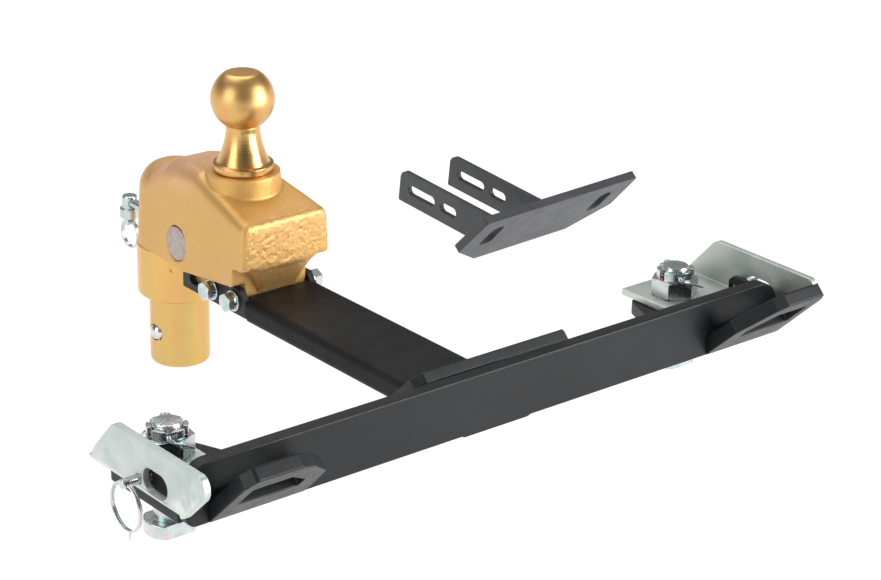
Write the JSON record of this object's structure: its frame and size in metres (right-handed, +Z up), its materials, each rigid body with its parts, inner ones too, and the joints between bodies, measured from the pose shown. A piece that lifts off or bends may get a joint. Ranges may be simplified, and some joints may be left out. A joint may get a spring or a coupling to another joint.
{
  "type": "gooseneck hitch with crossbar",
  "caption": "Gooseneck hitch: ball head on a locking shank, adjustable arm, crossbar with twin turning anchors, chain loops and a loose slotted bracket.",
  "frame": {"origin": "on the shank's axis, at the shoulder where the shank meets the collar", "axes": "+X along the crossbar, +Y from the crossbar to the head, +Z up along the shank"},
  "size_m": [0.9284, 0.7338, 0.3196],
  "materials": {
    "gold_cast": "yellow zinc over a rough casting",
    "gold_machined": "yellow zinc over turned steel",
    "grey_plug": "plain ground steel",
    "bright_steel": "polished",
    "zinc_hardware": "clear zinc",
    "zinc_plate": "dull clear zinc on flat plate",
    "black_coat": "satin black powder coat"
  },
  "bodies": {
    "base": {"head_casting": "gold_cast", "shank": "gold_machined", "side_plug_left": "grey_plug", "side_plug_right": "grey_plug", "hitch_ball": "gold_machined", "ball_washer": "zinc_hardware", "ball_nut": "zinc_hardware", "strap_bolts": "zinc_hardware", "strap_washers": "zinc_hardware", "spring_washers": "zinc_hardware", "strap_nuts": "zinc_hardware", "bracket_plate": "black_coat", "bracket_arm_left": "black_coat", "bracket_arm_right": "black_coat", "bracket_block": "black_coat"},
    "cam": {"cam_rod": "bright_steel", "cam_spring": "bright_steel"},
    "lock_ball_left": {"lock_ball_left": "bright_steel"},
    "lock_ball_right": {"lock_ball_right": "bright_steel"},
    "release": {"release_pin": "zinc_hardware", "cross_dowel": "bright_steel", "release_knob": "zinc_hardware"},
    "release_ring": {"release_ring": "zinc_hardware"},
    "arm": {"strap_left": "black_coat", "strap_right": "black_coat", "arm_bar": "black_coat", "crossbar": "black_coat", "gusset_plate": "black_coat", "pad_left": "black_coat", "pad_right": "black_coat", "lock_tab_left": "black_coat", "lock_tab_right": "black_coat", "chain_loop_left": "black_coat", "chain_loop_right": "black_coat"},
    "anchor_left": {"anchor_stud_left": "zinc_hardware", "castle_nut_left": "zinc_hardware", "cotter_pin_left": "zinc_hardware", "lever_left": "zinc_plate"},
    "lock_pin_left": {"lock_pin_left": "zinc_hardware"},
    "lock_ring_left": {"lock_ring_left": "zinc_hardware"},
    "anchor_right": {"anchor_stud_right": "zinc_hardware", "castle_nut_right": "zinc_hardware", "cotter_pin_right": "zinc_hardware", "lever_right": "zinc_plate"},
    "lock_pin_right": {"lock_pin_right": "zinc_hardware"},
    "lock_ring_right": {"lock_ring_right": "zinc_hardware"}
  },
  "joints": [
    {"name": "arm_adjust", "type": "slide", "parent": "base", "child": "arm", "axis": [0, 1, 0], "range_m": [-0.004, 0.004]},
    {"name": "release_pull", "type": "slide", "parent": "base", "child": "release", "axis": [0, 1, 0], "range_m": [0, 0.01], "stiffness_N_per_m": 1200, "springref_m": -0.01},
    {"name": "cam_lift", "type": "slide", "parent": "base", "child": "cam", "axis": [0, 0, 1], "range_m": [0, 0.01], "deforming": ["cam_spring"]},
    {"name": "lock_ball_left_in", "type": "slide", "parent": "base", "child": "lock_ball_left", "axis": [1, 0, 0], "range_m": [0, 0.003]},
    {"name": "lock_ball_right_in", "type": "slide", "parent": "base", "child": "lock_ball_right", "axis": [-1, 0, 0], "range_m": [0, 0.003]},
    {"name": "release_ring_swing", "type": "hinge", "parent": "release", "child": "release_ring", "pos_m": [0, 0.0845, 0.0465], "axis": [0, 1, 0], "range_deg": [-80, 80]},
    {"name": "anchor_turn_left", "type": "hinge", "parent": "arm", "child": "anchor_left", "pos_m": [-0.2766, -0.3982, 0.05], "axis": [0, 0, 1], "range_deg": [-90, 0]},
    {"name": "lock_pin_push_left", "type": "slide", "parent": "anchor_left", "child": "lock_pin_left", "axis": [1, 0, 0], "range_m": [0, 0.008]},
    {"name": "lock_ring_swing_left", "type": "hinge", "parent": "lock_pin_left", "child": "lock_ring_left", "pos_m": [-0.337, -0.4315, 0.064], "axis": [0, 1, 0], "range_deg": [-12, 80]},
    {"name": "anchor_turn_right", "type": "hinge", "parent": "arm", "child": "anchor_right", "pos_m": [0.2766, -0.3982, 0.05], "axis": [0, 0, 1], "range_deg": [0, 90]},
    {"name": "lock_pin_push_right", "type": "slide", "parent": "anchor_right", "child": "lock_pin_right", "axis": [-1, 0, 0], "range_m": [0, 0.008]},
    {"name": "lock_ring_swing_right", "type": "hinge", "parent": "lock_pin_right", "child": "lock_ring_right", "pos_m": [0.345, -0.4315, 0.064], "axis": [0, -1, 0], "range_deg": [-12, 80]}
  ],
  "couplings": [
    {"joint": "cam_lift", "follows": "release_pull", "ratio": 1},
    {"joint": "lock_ball_left_in", "follows": "release_pull", "ratio": 0.3},
    {"joint": "lock_ball_right_in", "follows": "release_pull", "ratio": 0.3}
  ]
}
